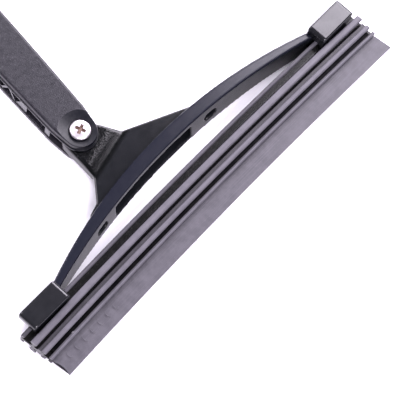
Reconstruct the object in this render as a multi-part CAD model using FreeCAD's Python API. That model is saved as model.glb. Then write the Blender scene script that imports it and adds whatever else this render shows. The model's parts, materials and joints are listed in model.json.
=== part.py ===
"""Window cleaning squeegee with a swivelling head, lying on its back.

Frame: +Z up out of the table, +X along the blade, +Y from the blade towards the handle's end.
The origin is under the middle of the whole object, on the table.  Inside this file the parts are
laid out from the middle of the blade's lip, and export() moves them to that origin at the end.
All sizes are in millimetres.
"""
import FreeCAD, Part
import math
import os

V = FreeCAD.Vector
Z_AXIS = V(0, 0, 1)

# --- blade ------------------------------------------------------------------------------------
BLADE_LENGTH = 250.0            # ten inches
BLADE_RISE = 2.2                # the blade bows towards the handle by this much at its middle
BLADE_MID_Z = 9.0               # the blade's middle plane, above the table
BLADE_RADIUS = ((BLADE_LENGTH / 2) ** 2 + BLADE_RISE ** 2) / (2 * BLADE_RISE)
BLADE_HALF_ANGLE = math.degrees(math.asin(BLADE_LENGTH / 2 / BLADE_RADIUS))

# the rubber's section: distance from the lip's edge, and half the thickness there
LIP_EDGE_HALF = 0.55
LIP_ROOT, LIP_ROOT_HALF = 11.3, 1.15
RIB_FOUR = (11.6, 12.3, 3.4)    # from, to, half thickness
SPLINE_GROOVE_HALF = 1.3
RIB_THREE = (15.35, 17.35, 4.4)
SLOPE_TOP_HALF, SLOPE_END, SLOPE_END_HALF = 3.6, 20.7, 1.8
RIB_TWO = (21.1, 23.8, 5.6)
NECK_HALF = 1.4
BEAD = (27.6, 30.2, 3.3)
RIB_ROUND = 0.35

SPLINE_THICK = 0.9
SPLINE_END_GAP = 3.0            # the spline strips stop this far from the rubber's ends
SPLINE_SIDE_GAP = 0.1
TAB_X, TAB_WIDTH, TAB_REACH = -108.6, 1.2, 0.7    # tab that keeps the front spline in

# --- end clamps -------------------------------------------------------------------------------
CLAMP_INNER_X, CLAMP_OUTER_X = 97.6, 122.5
CLAMP_LOW_Y, CLAMP_HIGH_Y = 25.8, 37.3
CLAMP_THICK = 19.0
CLAMP_ROUND, CLAMP_INNER_ROUND, CLAMP_END_ROUND = 1.1, 2.2, 2.2
BEAD_ROOM_HIGH_Y = 32.5
BEAD_LIP_Y = 27.4
THROAT_HALF = 1.7
CLAMP_CAP_THICK = 4.0           # the outer end is full length for this much below the front
CLAMP_BACK_X = 114.0            # and slopes in to here at the back
CLAMP_SCREW_X, CLAMP_SCREW_Y, CLAMP_SCREW_R = 109.5, 34.5, 1.1
CLAMP_SCREW_HEAD_R, CLAMP_SCREW_HEAD_H = 2.0, 1.5

# --- bow, web and neck, one moulding ----------------------------------------------------------
BOW_REAR_Z, BOW_FRONT_Z = 0.0, 14.0
BOW_OUTER_MID_Y, BOW_OUTER_END_Y = 53.4, 37.2
BOW_FRONT_INNER_MID_Y, BOW_FRONT_INNER_END_Y = 46.0, 33.1
BOW_REAR_INNER_MID_Y, BOW_REAR_INNER_END_Y = 43.1, 31.7
BOW_EDGE_ROUND = 0.6
TENON_END_X = 106.0
TENON_LOW_Y, TENON_HIGH_Y = 33.3, 36.0
TENON_REAR_Z, TENON_FRONT_Z = 6.5, 11.5
WEB_REAR_Z, WEB_FRONT_Z = 7.2, 10.4
TONGUE_REAR_Z, TONGUE_FRONT_Z = 5.1, 12.1
KNUCKLE_R = 9.4
NECK_FOOT_BELOW, NECK_FOOT_ROUND = 14.0, 1.6    # the neck rounds down to the web there
POCKET_LEFT_X, POCKET_RIGHT_X = -45.4, 14.4
POCKET_REAR_Z, POCKET_FRONT_Z, POCKET_DEPTH = 1.0, 10.6, 4.6
SLOT_CENTRES_X = (-57.5, 29.0)
SLOT_LENGTH, SLOT_HEIGHT, SLOT_DEPTH = 8.5, 5.0, 3.2

# --- pivot ------------------------------------------------------------------------------------
PIVOT_X, PIVOT_Y = -30.0, 82.1
SCREW_R = 2.5                   # M5
SCREW_HEAD_R, SCREW_HEAD_H = 5.45, 2.1
BUSH_R = 3.8
PIVOT_CLEARANCE = 0.05
WASHER_R, WASHER_THICK = 8.2, 0.6
NUT_FLATS, NUT_HEIGHT, NUT_SINK = 8.0, 2.7, 0.4
SPRING_WASHER_R, SPRING_WASHER_THICK = 4.4, 0.5

# --- handle -----------------------------------------------------------------------------------
HANDLE_LEAN = -6.8              # degrees about +Z from straight: leans towards +X
HANDLE_REACH = 190.0            # pivot to the centre of the rounded end
HANDLE_END_R = 11.4
HANDLE_NOSE_R, NOSE_FLARE = 9.5, 8.0     # the sides flare out of the round nose by these degrees
SHOULDER_HALF, SHOULDER_AT = 10.9, 9.5
HANDLE_BELLY, HANDLE_BELLY_AT = 12.4, 95.0
HANDLE_REAR_Z, HANDLE_FRONT_Z = 0.0, 18.0
FRONT_SHELL_THICK, REAR_SHELL_THICK = 5.2, 4.4
CORE_REAR_Z = HANDLE_REAR_Z + REAR_SHELL_THICK
CORE_FRONT_Z = HANDLE_FRONT_Z - FRONT_SHELL_THICK
HANDLE_ROUND_FRONT, HANDLE_ROUND_REAR = 1.4, 1.4
FLANGE_HEIGHT, SIDE_INSET = 1.1, 0.45   # each shell's rim stands proud of its side
DISH_R, DISH_DEPTH = 11.6, 1.2    # spherical hollow round the pivot
DISH_SEAT_R = 5.85              # flat floor under the screw
SLOT_WALL_R, SLOT_WALL_THICK = 14.9, 1.8
CORE_INSET = 0.5
CORE_SPINE_HALF = 1.5
CORE_FLANGE = 0.9               # truss members along the core's front and rear
TRUSS_MEMBER = 1.5
FIRST_WINDOW = (14.2, 28.2)
TRUSS_START, TRUSS_PITCH, TRUSS_BAYS = 32.4, 11.6, 12
SHELL_SCREW_AT = (30.3, 96.0, 160.0)
SHELL_SCREW_R, SHELL_SCREW_HEAD_R, SHELL_SCREW_HEAD_H = 1.25, 2.5, 1.8
SHELL_SCREW_SINK, SHELL_SCREW_TIP = 0.4, 2.2
BOSS_R = 3.6
HOLE_GAP = 0.08
HANG_AT = 186.0
HANG_R, EYELET_WALL = 4.0, 1.2
EYELET_FLANGE_R, EYELET_FLANGE_THICK = 6.4, 0.8

LEAN = math.radians(HANDLE_LEAN)
OVERALL_Y = PIVOT_Y + HANDLE_REACH * math.cos(LEAN) + HANDLE_END_R
ORIGIN = V(0, OVERALL_Y / 2, 0)


# --- helpers ----------------------------------------------------------------------------------
def rounded_wire(points, z=0.0):
    """Closed wire through (x, y, r) corners, each rounded by its own radius r."""
    edges = []
    starts, ends, mids = [], [], []
    count = len(points)
    for i in range(count):
        x, y, r = points[i]
        here = V(x, y, z)
        before = V(points[i - 1][0], points[i - 1][1], z)
        after = V(points[(i + 1) % count][0], points[(i + 1) % count][1], z)
        a, b = (before - here).normalize(), (after - here).normalize()
        half = a.getAngle(b) / 2
        reach = r / math.tan(half) if r else 0.0
        starts.append(here + a * reach)
        ends.append(here + b * reach)
        bisector = (a + b).normalize() if r else V(0, 0, 0)
        mids.append(here + bisector * (r / math.sin(half) - r) if r else here)
    for i in range(count):
        if points[i][2]:
            edges.append(Part.Arc(starts[i], mids[i], ends[i]).toShape())
        following = starts[(i + 1) % count]
        if (following - ends[i]).Length > 1e-6:
            edges.append(Part.LineSegment(ends[i], following).toShape())
    return Part.Wire(Part.__sortEdges__(edges))


def prism(wire, height):
    return Part.Face(wire).extrude(V(0, 0, height))


def cylinder(radius, z_low, z_high, x=0.0, y=0.0):
    return Part.makeCylinder(radius, z_high - z_low, V(x, y, z_low))


def ring(outer, inner, z_low, z_high):
    return cylinder(outer, z_low, z_high).cut(cylinder(inner, z_low - 1, z_high + 1))


def box(low, high):
    size = V(*high) - V(*low)
    return Part.makeBox(size.x, size.y, size.z, V(*low))


def edges_at_z(shape, z):
    flat = lambda e: abs(e.BoundBox.ZMin - z) < 1e-4 and abs(e.BoundBox.ZMax - z) < 1e-4
    return [e for e in shape.Edges if flat(e)]


def mirrored_x(shape):
    return shape.mirror(V(0, 0, 0), V(1, 0, 0))


def arc_radius(half_width, rise):
    return (half_width ** 2 + rise ** 2) / (2 * rise)


def arc_y(x, mid_y, end_y, half_width):
    """Height at x of the arc that is mid_y high in the middle and end_y at each end."""
    radius = arc_radius(half_width, mid_y - end_y)
    return mid_y - radius + math.sqrt(radius ** 2 - x ** 2)


# --- blade ------------------------------------------------------------------------------------
def swept_along_blade(section_points, end_gap=0.0):
    """Sweep a section, given as (distance from the lip, z) corners, along the bowed blade."""
    corners = [V(0, BLADE_RISE + d, z) for d, z in section_points]
    face = Part.Face(Part.makePolygon(corners + corners[:1]))
    centre = V(0, BLADE_RISE - BLADE_RADIUS, 0)
    half = BLADE_HALF_ANGLE - math.degrees(end_gap / BLADE_RADIUS)
    face.rotate(centre, Z_AXIS, -half)
    return face.revolve(centre, Z_AXIS, 2 * half)


def rib_corners(rib, floor_before, floor_after):
    """One rib with broken edges, standing on the two floors beside it."""
    start, end, half = rib
    r = RIB_ROUND
    return [(start, floor_before), (start, half - r), (start + r, half),
            (end - r, half), (end, half - r), (end, floor_after)]


def blade_half_section():
    points = [(0, LIP_EDGE_HALF), (LIP_ROOT, LIP_ROOT_HALF)]
    points += rib_corners(RIB_FOUR, LIP_ROOT_HALF, SPLINE_GROOVE_HALF)
    points += rib_corners(RIB_THREE, SPLINE_GROOVE_HALF, SLOPE_TOP_HALF)
    points += [(SLOPE_END, SLOPE_END_HALF)]
    points += rib_corners(RIB_TWO, SLOPE_END_HALF, NECK_HALF)
    points += rib_corners(BEAD, NECK_HALF, 0)[:-1]
    return points


def squeegee_rubber():
    front = [(d, BLADE_MID_Z + h) for d, h in blade_half_section()]
    rear = [(d, BLADE_MID_Z - h) for d, h in reversed(blade_half_section())]
    rubber = swept_along_blade(front + rear)
    rib_side_y = arc_y(TAB_X, BLADE_RISE, 0, BLADE_LENGTH / 2) + RIB_FOUR[1]
    over_spline = BLADE_MID_Z + SPLINE_GROOVE_HALF + SPLINE_THICK + 0.1
    tab = box((TAB_X, rib_side_y - 0.3, over_spline),
              (TAB_X + TAB_WIDTH, rib_side_y + TAB_REACH, BLADE_MID_Z + RIB_FOUR[2] - RIB_ROUND))
    return rubber.fuse(tab)


def spline(side):
    near = BLADE_MID_Z + side * (SPLINE_GROOVE_HALF + 0.02)
    far = near + side * SPLINE_THICK
    low, high = RIB_FOUR[1] + SPLINE_SIDE_GAP, RIB_THREE[0] - SPLINE_SIDE_GAP
    corners = [(low, near), (high, near), (high, far), (low, far)]
    return swept_along_blade(corners, SPLINE_END_GAP)


# --- end clamps -------------------------------------------------------------------------------
def clamp_end_slope():
    """The wedge taken off the clamp's outer end, behind its cap."""
    y, shoulder = CLAMP_LOW_Y - 1, CLAMP_THICK - CLAMP_CAP_THICK
    corners = [V(CLAMP_OUTER_X, y, shoulder), V(CLAMP_BACK_X, y, 0), V(CLAMP_BACK_X, y, -1),
               V(CLAMP_OUTER_X + 1, y, -1), V(CLAMP_OUTER_X + 1, y, shoulder)]
    face = Part.Face(Part.makePolygon(corners + corners[:1]))
    return face.extrude(V(0, CLAMP_HIGH_Y - CLAMP_LOW_Y + 2, 0))


def right_clamp_block():
    """The whole right-hand clamp, before it is split into its front and rear jaws."""
    block = box((CLAMP_INNER_X, CLAMP_LOW_Y, 0), (CLAMP_OUTER_X, CLAMP_HIGH_Y, CLAMP_THICK))
    block = block.cut(clamp_end_slope())
    end_edge = [e for e in edges_at_z(block, CLAMP_THICK) if e.BoundBox.XMin > CLAMP_OUTER_X - 1]
    block = block.makeFillet(CLAMP_END_ROUND, end_edge)
    inner_edge = [e for e in edges_at_z(block, CLAMP_THICK) if e.BoundBox.XMax < CLAMP_INNER_X + 1]
    block = block.makeFillet(CLAMP_INNER_ROUND, inner_edge)
    sharp = [e for e in block.Edges if e.BoundBox.ZMin > 1 and e.BoundBox.XMin < CLAMP_OUTER_X - 4]
    block = block.makeFillet(CLAMP_ROUND, sharp)
    x_in, x_out = CLAMP_INNER_X - 1, CLAMP_OUTER_X + 1
    bead_room = box((x_in, BEAD_LIP_Y, BLADE_MID_Z - BEAD[2]),
                    (x_out, BEAD_ROOM_HIGH_Y, BLADE_MID_Z + BEAD[2]))
    throat = box((x_in, CLAMP_LOW_Y - 1, BLADE_MID_Z - THROAT_HALF),
                 (x_out, BEAD_LIP_Y + 1, BLADE_MID_Z + THROAT_HALF))
    tenon_room = box((x_in, TENON_LOW_Y, TENON_REAR_Z),
                     (TENON_END_X + 0.3, TENON_HIGH_Y, TENON_FRONT_Z))
    hole = cylinder(CLAMP_SCREW_R + HOLE_GAP, -1, CLAMP_THICK - 3, CLAMP_SCREW_X, CLAMP_SCREW_Y)
    counterbore = cylinder(CLAMP_SCREW_HEAD_R + 0.15, -1, CLAMP_SCREW_HEAD_H + 0.5,
                           CLAMP_SCREW_X, CLAMP_SCREW_Y)
    return block.cut(bead_room).cut(throat).cut(tenon_room).cut(hole).cut(counterbore)


def clamp_jaw(front):
    low, high = (BLADE_MID_Z, CLAMP_THICK + 1) if front else (-1, BLADE_MID_Z)
    half_space = box((CLAMP_INNER_X - 5, CLAMP_LOW_Y - 5, low),
                     (CLAMP_OUTER_X + 5, CLAMP_HIGH_Y + 5, high))
    return right_clamp_block().common(half_space)


def clamp_screws():
    head = cylinder(CLAMP_SCREW_HEAD_R, 0.5, 0.5 + CLAMP_SCREW_HEAD_H, CLAMP_SCREW_X, CLAMP_SCREW_Y)
    shank = cylinder(CLAMP_SCREW_R, 0.5, CLAMP_THICK - 3.5, CLAMP_SCREW_X, CLAMP_SCREW_Y)
    slot = box((CLAMP_SCREW_X - 3, CLAMP_SCREW_Y - 0.3, 0),
               (CLAMP_SCREW_X + 3, CLAMP_SCREW_Y + 0.3, 1.1))
    screw = head.fuse(shank).cut(slot)
    return Part.makeCompound([screw, mirrored_x(screw)])


# --- bow, web and neck ------------------------------------------------------------------------
def bow_outline(inner_mid_y, inner_end_y, z):
    """The bow seen from the front: an outer arc, an inner arc and two straight ends."""
    x = CLAMP_INNER_X
    outer = Part.Arc(V(-x, BOW_OUTER_END_Y, z), V(0, BOW_OUTER_MID_Y, z), V(x, BOW_OUTER_END_Y, z))
    inner = Part.Arc(V(-x, inner_end_y, z), V(0, inner_mid_y, z), V(x, inner_end_y, z))
    right = Part.LineSegment(V(x, BOW_OUTER_END_Y, z), V(x, inner_end_y, z))
    left = Part.LineSegment(V(-x, inner_end_y, z), V(-x, BOW_OUTER_END_Y, z))
    return Part.Wire([outer.toShape(), right.toShape(), inner.toShape(), left.toShape()])


def bow_bar():
    rear = bow_outline(BOW_REAR_INNER_MID_Y, BOW_REAR_INNER_END_Y, BOW_REAR_Z)
    front = bow_outline(BOW_FRONT_INNER_MID_Y, BOW_FRONT_INNER_END_Y, BOW_FRONT_Z)
    return Part.makeLoft([rear, front], True, True)


def underside_y(x):
    """The bow's underside, half way between its front and rear edges."""
    front = arc_y(x, BOW_FRONT_INNER_MID_Y, BOW_FRONT_INNER_END_Y, CLAMP_INNER_X)
    rear = arc_y(x, BOW_REAR_INNER_MID_Y, BOW_REAR_INNER_END_Y, CLAMP_INNER_X)
    return (front + rear) / 2


def long_pocket():
    """The long blind recess in the bow's underside, following the bow's curve."""
    mid_x = (POCKET_LEFT_X + POCKET_RIGHT_X) / 2
    roof = [V(x, underside_y(x) + POCKET_DEPTH, POCKET_REAR_Z)
            for x in (POCKET_LEFT_X, mid_x, POCKET_RIGHT_X)]
    floor_left = V(POCKET_LEFT_X, BOW_REAR_INNER_END_Y, POCKET_REAR_Z)
    floor_right = V(POCKET_RIGHT_X, BOW_REAR_INNER_END_Y, POCKET_REAR_Z)
    edges = [Part.Arc(*roof).toShape(),
             Part.LineSegment(roof[2], floor_right).toShape(),
             Part.LineSegment(floor_right, floor_left).toShape(),
             Part.LineSegment(floor_left, roof[0]).toShape()]
    return prism(Part.Wire(edges), POCKET_FRONT_Z - POCKET_REAR_Z)


def small_slot(x):
    """One blind slot with round ends, sunk into the bow's underside."""
    half, r = SLOT_LENGTH / 2, SLOT_HEIGHT / 2
    z = (BOW_REAR_Z + BOW_FRONT_Z) / 2 - 0.5
    corners = [(-half, -r), (half, -r), (half, r), (-half, r)]
    outline = rounded_wire([(cx, cz, r * 0.99) for cx, cz in corners])
    tool = prism(outline, 30)
    tool.rotate(V(0, 0, 0), V(1, 0, 0), 90)
    bow_radius = arc_radius(CLAMP_INNER_X, BOW_FRONT_INNER_MID_Y - BOW_FRONT_INNER_END_Y)
    slope = math.degrees(math.asin(-x / bow_radius))
    tool.rotate(V(0, 0, 0), Z_AXIS, slope)
    tool.translate(V(x, underside_y(x) + SLOT_DEPTH, z))
    return tool


def web_plate():
    """The thin triangular web between the neck and the bow."""
    x, y = PIVOT_X, PIVOT_Y
    corners = [(x - 30, 46.0, 0), (x - 27.5, 49.0, 2), (x - 20.5, 51.0, 4), (x - 11.1, y - 20.7, 3),
               (x - 9, y - 10, 0), (x + 12, y - 10, 0), (x + 18.3, y - 13.4, 1.5), (x + 51.5, 54.1, 9),
               (x + 60, 49.8, 0), (x + 50, 46.5, 0), (x + 28, 48.0, 0)]
    return prism(rounded_wire(corners, WEB_REAR_Z), WEB_FRONT_Z - WEB_REAR_Z)


def neck_plate():
    """The thick textured neck: a round tongue at the pivot that widens towards the web."""
    x, y, r = PIVOT_X, PIVOT_Y, KNUCKLE_R
    corners = [(x - 11.0, y - 20.5, 1.0), (x + 2.5, y - 17.6, 8), (x + 17.8, y - 14.0, 1.5),
               (x + 11.8, y - 2.6, 4), (x + r, y, 0), (x - r, y, 0), (x - 9.7, y - 5.0, 8)]
    plate = prism(rounded_wire(corners, TONGUE_REAR_Z), TONGUE_FRONT_Z - TONGUE_REAR_Z)
    foot = [e for e in edges_at_z(plate, TONGUE_FRONT_Z) if e.BoundBox.YMax < y - NECK_FOOT_BELOW]
    plate = plate.makeFillet(NECK_FOOT_ROUND, foot)
    knuckle = cylinder(r, TONGUE_REAR_Z, TONGUE_FRONT_Z, x, y)
    return plate.fuse(knuckle).removeSplitter()


def head_frame():
    bar = bow_bar()
    front_rim = [e for e in edges_at_z(bar, BOW_FRONT_Z) if e.Length > 20]
    bar = bar.makeFillet(BOW_EDGE_ROUND, front_rim)
    tenon = box((-TENON_END_X, TENON_LOW_Y, TENON_REAR_Z), (TENON_END_X, TENON_HIGH_Y, TENON_FRONT_Z))
    middle = box((-CLAMP_INNER_X, 0, 0), (CLAMP_INNER_X, BOW_OUTER_MID_Y, CLAMP_THICK))
    frame = bar.fuse([tenon.cut(middle), web_plate(), neck_plate()])
    frame = frame.cut(long_pocket())
    for x in SLOT_CENTRES_X:
        frame = frame.cut(small_slot(x))
    bore = cylinder(BUSH_R + PIVOT_CLEARANCE, 0, CLAMP_THICK, PIVOT_X, PIVOT_Y)
    return frame.cut(bore).removeSplitter()


# --- handle, built along +Y from a pivot at the origin ----------------------------------------
def handle_outline(inset, z):
    """The handle seen from the front: a round nose, flared shoulders, a slight belly, a round end."""
    nose_r, end_r = HANDLE_NOSE_R - inset, HANDLE_END_R - inset
    flare = math.radians(NOSE_FLARE)
    nose_end = (nose_r * math.cos(flare), -nose_r * math.sin(flare))
    shoulder = (SHOULDER_HALF - inset, SHOULDER_AT)
    belly = (HANDLE_BELLY - inset, HANDLE_BELLY_AT)
    nose = Part.Arc(V(*nose_end, z), V(0, -nose_r, z), V(-nose_end[0], nose_end[1], z))
    edges = [nose.toShape()]
    for side in (-1, 1):
        top, bottom = V(side * shoulder[0], shoulder[1], z), V(side * end_r, HANDLE_REACH, z)
        edges.append(Part.LineSegment(V(side * nose_end[0], nose_end[1], z), top).toShape())
        edges.append(Part.Arc(top, V(side * belly[0], belly[1], z), bottom).toShape())
    end = Part.Arc(V(-end_r, HANDLE_REACH, z), V(0, HANDLE_REACH + end_r, z), V(end_r, HANDLE_REACH, z))
    return Part.Wire(Part.__sortEdges__(edges + [end.toShape()]))


def handle_slab(inset, z_low, z_high):
    return prism(handle_outline(inset, z_low), z_high - z_low)


def shell_blank(outside_z, inside_z, rounding):
    """One shell: a slab with its outer edge rounded and a proud rim where it meets the core."""
    slab = handle_slab(SIDE_INSET, min(outside_z, inside_z), max(outside_z, inside_z))
    slab = slab.makeFillet(rounding, edges_at_z(slab, outside_z))
    outward = 1 if outside_z > inside_z else -1
    rim = sorted((inside_z, inside_z + outward * FLANGE_HEIGHT))
    slab = slab.fuse(handle_slab(0, rim[0], rim[1]))
    eyelet_hole = cylinder(HANG_R + EYELET_WALL + HOLE_GAP, -1, HANDLE_FRONT_Z + 1, 0, HANG_AT)
    flange = sorted((outside_z, outside_z - outward * EYELET_FLANGE_THICK))
    flange_seat = cylinder(EYELET_FLANGE_R + HOLE_GAP, flange[0], flange[1], 0, HANG_AT)
    return slab.cut(eyelet_hole).cut(flange_seat)


def handle_front_shell():
    shell = shell_blank(HANDLE_FRONT_Z, CORE_FRONT_Z, HANDLE_ROUND_FRONT)
    sphere_r = arc_radius(DISH_R, DISH_DEPTH)
    sphere_centre = V(0, 0, HANDLE_FRONT_Z - DISH_DEPTH + sphere_r)
    shell = shell.cut(Part.makeSphere(sphere_r, sphere_centre))
    shell = shell.cut(cylinder(DISH_SEAT_R, HANDLE_FRONT_Z - DISH_DEPTH, HANDLE_FRONT_Z))
    shell = shell.cut(cylinder(SCREW_R + HOLE_GAP, -1, HANDLE_FRONT_Z))
    for y in SHELL_SCREW_AT:
        top = HANDLE_FRONT_Z - SHELL_SCREW_TIP + 0.3
        shell = shell.cut(cylinder(SHELL_SCREW_R + HOLE_GAP, 0, top, 0, y))
    return shell


def handle_rear_shell():
    shell = shell_blank(HANDLE_REAR_Z, CORE_REAR_Z, HANDLE_ROUND_REAR)
    shell = shell.cut(cylinder(SCREW_R + HOLE_GAP, -1, HANDLE_FRONT_Z))
    shell = shell.cut(hexagon(NUT_FLATS + 0.3, -1, HANDLE_REAR_Z + NUT_SINK + NUT_HEIGHT))
    for y in SHELL_SCREW_AT:
        shell = shell.cut(cylinder(SHELL_SCREW_R + HOLE_GAP, -1, HANDLE_FRONT_Z, 0, y))
        seat_top = HANDLE_REAR_Z + SHELL_SCREW_SINK + SHELL_SCREW_HEAD_H
        shell = shell.cut(cylinder(SHELL_SCREW_HEAD_R + 0.15, -1, seat_top, 0, y))
    return shell


def side_window(corners):
    """A window cut sideways through the core, from (distance from the pivot, z) corners."""
    wide = HANDLE_BELLY + 2
    points = [V(-wide, y, z) for y, z in corners]
    return Part.Face(Part.makePolygon(points + points[:1])).extrude(V(2 * wide, 0, 0))


def truss_windows():
    """Side windows of the core: one long one by the pivot, then triangles that alternate."""
    low, high = CORE_REAR_Z + CORE_FLANGE, CORE_FRONT_Z - CORE_FLANGE
    first, last = FIRST_WINDOW
    windows = [side_window([(first, low), (last, low), (last, high), (first, high)])]
    width = TRUSS_PITCH - 2 * TRUSS_MEMBER
    for bay in range(TRUSS_BAYS):
        y = TRUSS_START + bay * TRUSS_PITCH
        windows.append(side_window([(y, high), (y + width, high), (y + width / 2, low)]))
        y += TRUSS_PITCH / 2
        windows.append(side_window([(y, low), (y + width, low), (y + width / 2, high)]))
    return windows


def handle_core():
    """The moulded truss between the shells, with a spine down its middle."""
    core = handle_slab(CORE_INSET, CORE_REAR_Z, CORE_FRONT_Z)
    for window in truss_windows():
        core = core.cut(window)
    slot_wall = ring(SLOT_WALL_R + SLOT_WALL_THICK, SLOT_WALL_R, CORE_REAR_Z, CORE_FRONT_Z)
    slot_wall = slot_wall.common(handle_slab(CORE_INSET, CORE_REAR_Z, CORE_FRONT_Z))
    spine = box((-CORE_SPINE_HALF, SLOT_WALL_R, CORE_REAR_Z),
                (CORE_SPINE_HALF, HANDLE_REACH, CORE_FRONT_Z))
    bosses = [cylinder(BOSS_R, CORE_REAR_Z, CORE_FRONT_Z, 0, y) for y in SHELL_SCREW_AT]
    core = core.fuse([slot_wall, spine] + bosses)
    core = core.cut(cylinder(SLOT_WALL_R, 0, HANDLE_FRONT_Z))
    for y in SHELL_SCREW_AT:
        core = core.cut(cylinder(SHELL_SCREW_R + HOLE_GAP, 0, HANDLE_FRONT_Z, 0, y))
    core = core.cut(cylinder(HANG_R + EYELET_WALL + HOLE_GAP, 0, HANDLE_FRONT_Z, 0, HANG_AT))
    return core.removeSplitter()


def shell_screws():
    low = HANDLE_REAR_Z + SHELL_SCREW_SINK
    screws = []
    for y in SHELL_SCREW_AT:
        head = cylinder(SHELL_SCREW_HEAD_R, low, low + SHELL_SCREW_HEAD_H, 0, y)
        shank = cylinder(SHELL_SCREW_R, low, HANDLE_FRONT_Z - SHELL_SCREW_TIP, 0, y)
        screws.append(head.fuse(shank).cut(cross_recess(2.8, low, 1.1, 0, y)))
    return Part.makeCompound(screws)


def hang_eyelet_half(outside_z, inside_z):
    """Half of the two-piece eyelet that lines the hanging hole."""
    low, high = sorted((outside_z, inside_z))
    tube = cylinder(HANG_R + EYELET_WALL, low, high, 0, HANG_AT)
    inward = 1 if inside_z > outside_z else -1
    rim = sorted((outside_z, outside_z + inward * EYELET_FLANGE_THICK))
    tube = tube.fuse(cylinder(EYELET_FLANGE_R, rim[0], rim[1], 0, HANG_AT))
    return tube.cut(cylinder(HANG_R, -1, HANDLE_FRONT_Z + 1, 0, HANG_AT))


# --- pivot hardware, built round the origin ---------------------------------------------------
def hexagon(flats, z_low, z_high):
    r = flats / math.sqrt(3)
    corners = [V(r * math.cos(math.radians(60 * i)), r * math.sin(math.radians(60 * i)), z_low)
               for i in range(7)]
    return prism(Part.makePolygon(corners), z_high - z_low)


def cross_recess(span, z_low, depth, x=0.0, y=0.0):
    half, arm = span / 2, span / 7
    long_way = box((x - half, y - arm, z_low - 0.01), (x + half, y + arm, z_low + depth))
    return long_way.fuse(box((x - arm, y - half, z_low - 0.01), (x + arm, y + half, z_low + depth)))


def pivot_screw():
    """Pan head: a short straight rim under a shallow dome, with a cross recess."""
    seat = HANDLE_FRONT_Z - DISH_DEPTH + SPRING_WASHER_THICK
    rim, top = seat + 0.7, seat + SCREW_HEAD_H
    r = SCREW_HEAD_R
    profile = Part.Wire([
        Part.LineSegment(V(0, 0, seat), V(r, 0, seat)).toShape(),
        Part.LineSegment(V(r, 0, seat), V(r, 0, rim)).toShape(),
        Part.Arc(V(r, 0, rim), V(r * 0.78, 0, rim + (top - rim) * 0.72), V(0, 0, top)).toShape(),
        Part.LineSegment(V(0, 0, top), V(0, 0, seat)).toShape()])
    head = Part.Face(profile).revolve(V(0, 0, 0), Z_AXIS, 360)
    screw = head.fuse(cylinder(SCREW_R, HANDLE_REAR_Z + NUT_SINK, seat + 0.5))
    return screw.cut(cross_recess(5.4, top - 1.5, 3.0))


def pivot_nut():
    nut = hexagon(NUT_FLATS, HANDLE_REAR_Z + NUT_SINK, HANDLE_REAR_Z + NUT_SINK + NUT_HEIGHT)
    return nut.cut(cylinder(SCREW_R + HOLE_GAP, 0, HANDLE_FRONT_Z))


def spring_washer():
    """Split ring between the screw's head and the floor of the dish."""
    low = HANDLE_FRONT_Z - DISH_DEPTH
    washer = ring(SPRING_WASHER_R, SCREW_R + HOLE_GAP, low, low + SPRING_WASHER_THICK)
    return washer.cut(box((0, -0.4, low - 1), (SPRING_WASHER_R + 1, 0.4, low + 2)))


def pivot_bush():
    return ring(BUSH_R, SCREW_R + HOLE_GAP, CORE_REAR_Z + 0.05, CORE_FRONT_Z - 0.05)


def friction_washer(z_low):
    return ring(WASHER_R, BUSH_R + HOLE_GAP, z_low, z_low + WASHER_THICK)


# --- placing and writing ----------------------------------------------------------------------
def on_handle(shape):
    """Move a part from the handle's own layout to its place, leaning as it lies at rest."""
    shape.rotate(V(0, 0, 0), Z_AXIS, HANDLE_LEAN)
    shape.translate(V(PIVOT_X, PIVOT_Y, 0))
    return shape


def export(name, shape):
    shape.translate(-ORIGIN)
    shape.exportStep("parts/%s.step" % name)
    solids = shape.Solids
    print("%-24s solids %d valid %s volume %.1f" % (name, len(solids), shape.isValid(), shape.Volume))


def main():
    os.makedirs("parts", exist_ok=True)
    handle_mid_z = (HANDLE_REAR_Z + HANDLE_FRONT_Z) / 2
    export("head_frame", head_frame())
    export("squeegee_rubber", squeegee_rubber())
    export("front_spline", spline(1))
    export("rear_spline", spline(-1))
    export("right_front_jaw", clamp_jaw(True))
    export("right_rear_jaw", clamp_jaw(False))
    export("left_front_jaw", mirrored_x(clamp_jaw(True)))
    export("left_rear_jaw", mirrored_x(clamp_jaw(False)))
    export("clamp_screws", clamp_screws())
    export("handle_front_shell", on_handle(handle_front_shell()))
    export("handle_core", on_handle(handle_core()))
    export("handle_rear_shell", on_handle(handle_rear_shell()))
    export("shell_screws", on_handle(shell_screws()))
    export("front_eyelet", on_handle(hang_eyelet_half(HANDLE_FRONT_Z, handle_mid_z)))
    export("rear_eyelet", on_handle(hang_eyelet_half(HANDLE_REAR_Z, handle_mid_z)))
    export("pivot_screw", on_handle(pivot_screw()))
    export("pivot_nut", on_handle(pivot_nut()))
    export("spring_washer", on_handle(spring_washer()))
    export("pivot_bush", on_handle(pivot_bush()))
    export("front_friction_washer", on_handle(friction_washer(TONGUE_FRONT_Z + 0.05)))
    export("rear_friction_washer", on_handle(friction_washer(TONGUE_REAR_Z - 0.05 - WASHER_THICK)))
    print("origin", ORIGIN, "hang hole", on_handle(Part.Vertex(0, HANG_AT, handle_mid_z)).Point)


main()
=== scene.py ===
"""Looks of the window cleaning squeegee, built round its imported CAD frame.

The frame's axes are +X along the blade, +Y towards the handle's end and +Z up out of the handle's
front. Places are in metres; sizes are in millimetres where a section says so, and MM turns a
millimetre into metres.
"""
import json
import math

import bmesh
import bpy
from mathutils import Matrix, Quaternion, Vector


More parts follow.
